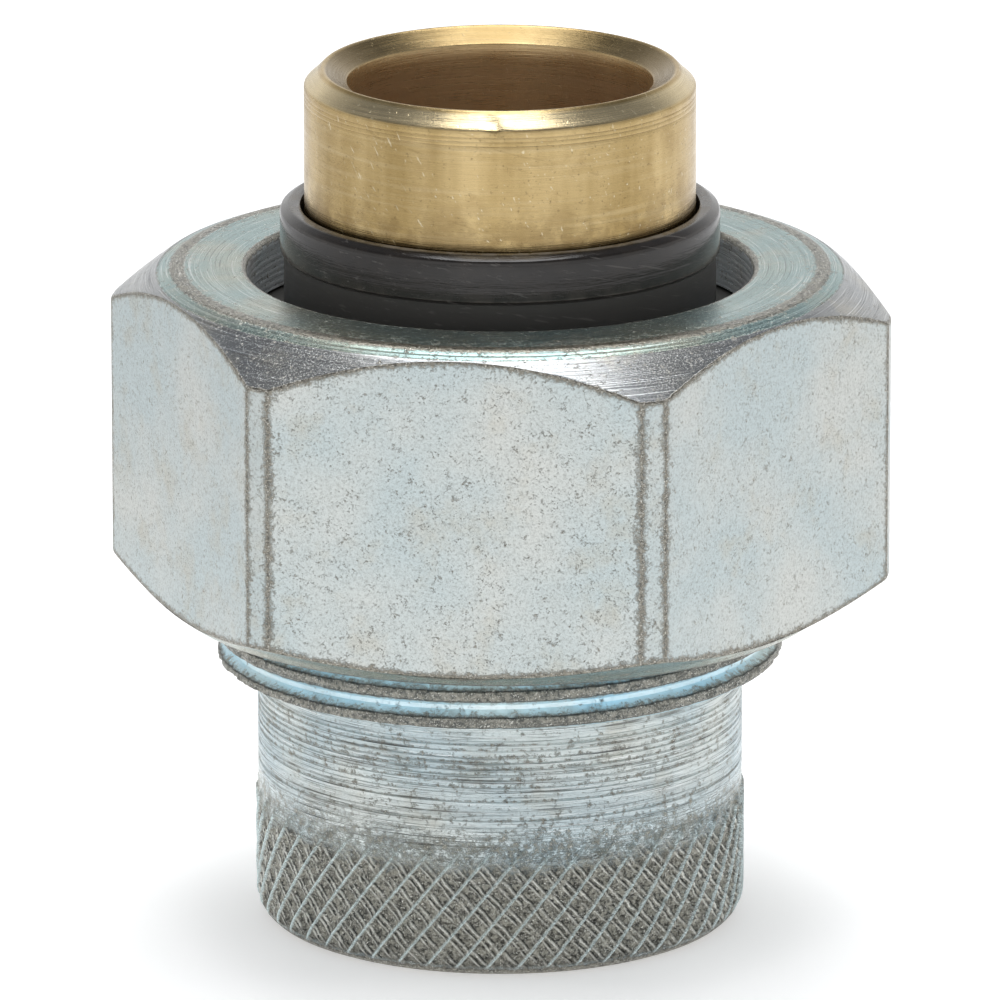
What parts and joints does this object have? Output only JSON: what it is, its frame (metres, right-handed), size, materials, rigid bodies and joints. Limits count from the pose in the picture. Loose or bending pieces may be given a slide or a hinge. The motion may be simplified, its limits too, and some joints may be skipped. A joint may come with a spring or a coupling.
{
  "type": "pipe union",
  "caption": "Dielectric pipe union: threaded steel body and brass solder tailpiece clamped by a hex union nut, with a plastic insulator and a gasket between them.",
  "frame": {"origin": "middle of the steel body's bottom face, on the axis of the bore", "axes": "+Z along the bore, from the threaded end to the solder cup; X runs across two corners of the nut and Y across two flats"},
  "size_m": [0.0576, 0.0508, 0.0642],
  "materials": {
    "body_steel": "clear zinc plate, turned and knurled",
    "nut_steel": "clear zinc plate with worn edges",
    "tail_brass": "satin, fine turned",
    "insulator_plastic": "glossy moulded, lightly scratched",
    "gasket_rubber": "matt moulded rubber"
  },
  "bodies": {
    "body_half": {"union_body": "body_steel", "gasket": "gasket_rubber"},
    "tail": {"tailpiece": "tail_brass"},
    "sleeve": {"insulator": "insulator_plastic"},
    "nut": {"union_nut": "nut_steel"}
  },
  "joints": [
    {"name": "nut_turn", "type": "hinge", "parent": "body_half", "child": "sleeve", "pos_m": [0, 0, 0.03], "axis": [0, 0, 1], "range_deg": [0, 2340]},
    {"name": "nut_rise", "type": "slide", "parent": "sleeve", "child": "nut", "axis": [0, 0, 1], "range_m": [0, 0.013]},
    {"name": "tailpiece_swivel", "type": "hinge", "parent": "body_half", "child": "tail", "pos_m": [0, 0, 0.042], "axis": [0, 0, 1], "continuous": true}
  ],
  "couplings": [
    {"joint": "nut_rise", "follows": "nut_turn", "m_per_rad": 0.00031831}
  ]
}
